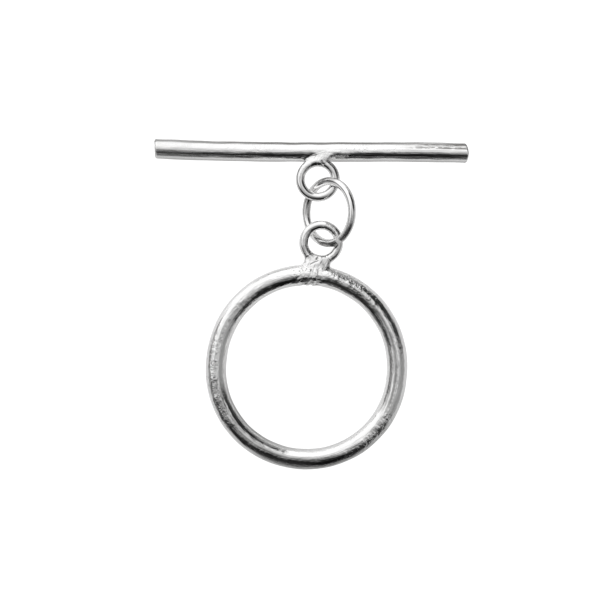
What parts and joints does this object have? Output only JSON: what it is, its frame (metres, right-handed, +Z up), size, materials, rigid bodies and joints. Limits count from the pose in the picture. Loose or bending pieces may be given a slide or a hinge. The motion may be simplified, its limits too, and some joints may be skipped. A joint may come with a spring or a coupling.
{
  "type": "toggle clasp",
  "caption": "Round-wire silver toggle clasp: a bar and a ring, each with a soldered eye, linked by a loose jump ring; the bar goes through the ring to close a strand.",
  "frame": {"origin": "on the surface that the clasp lies on, under the middle of its whole outline", "axes": "+X along the bar, +Y from the ring to the bar, +Z up from the surface"},
  "size_m": [0.0314, 0.0332, 0.005],
  "materials": {
    "polished_silver": "polished sterling silver with fine wear, pitting and bright solder"
  },
  "bodies": {
    "root": {"toggle_bar": "polished_silver", "jump_ring": "polished_silver", "toggle_ring": "polished_silver"}
  },
  "joints": []
}
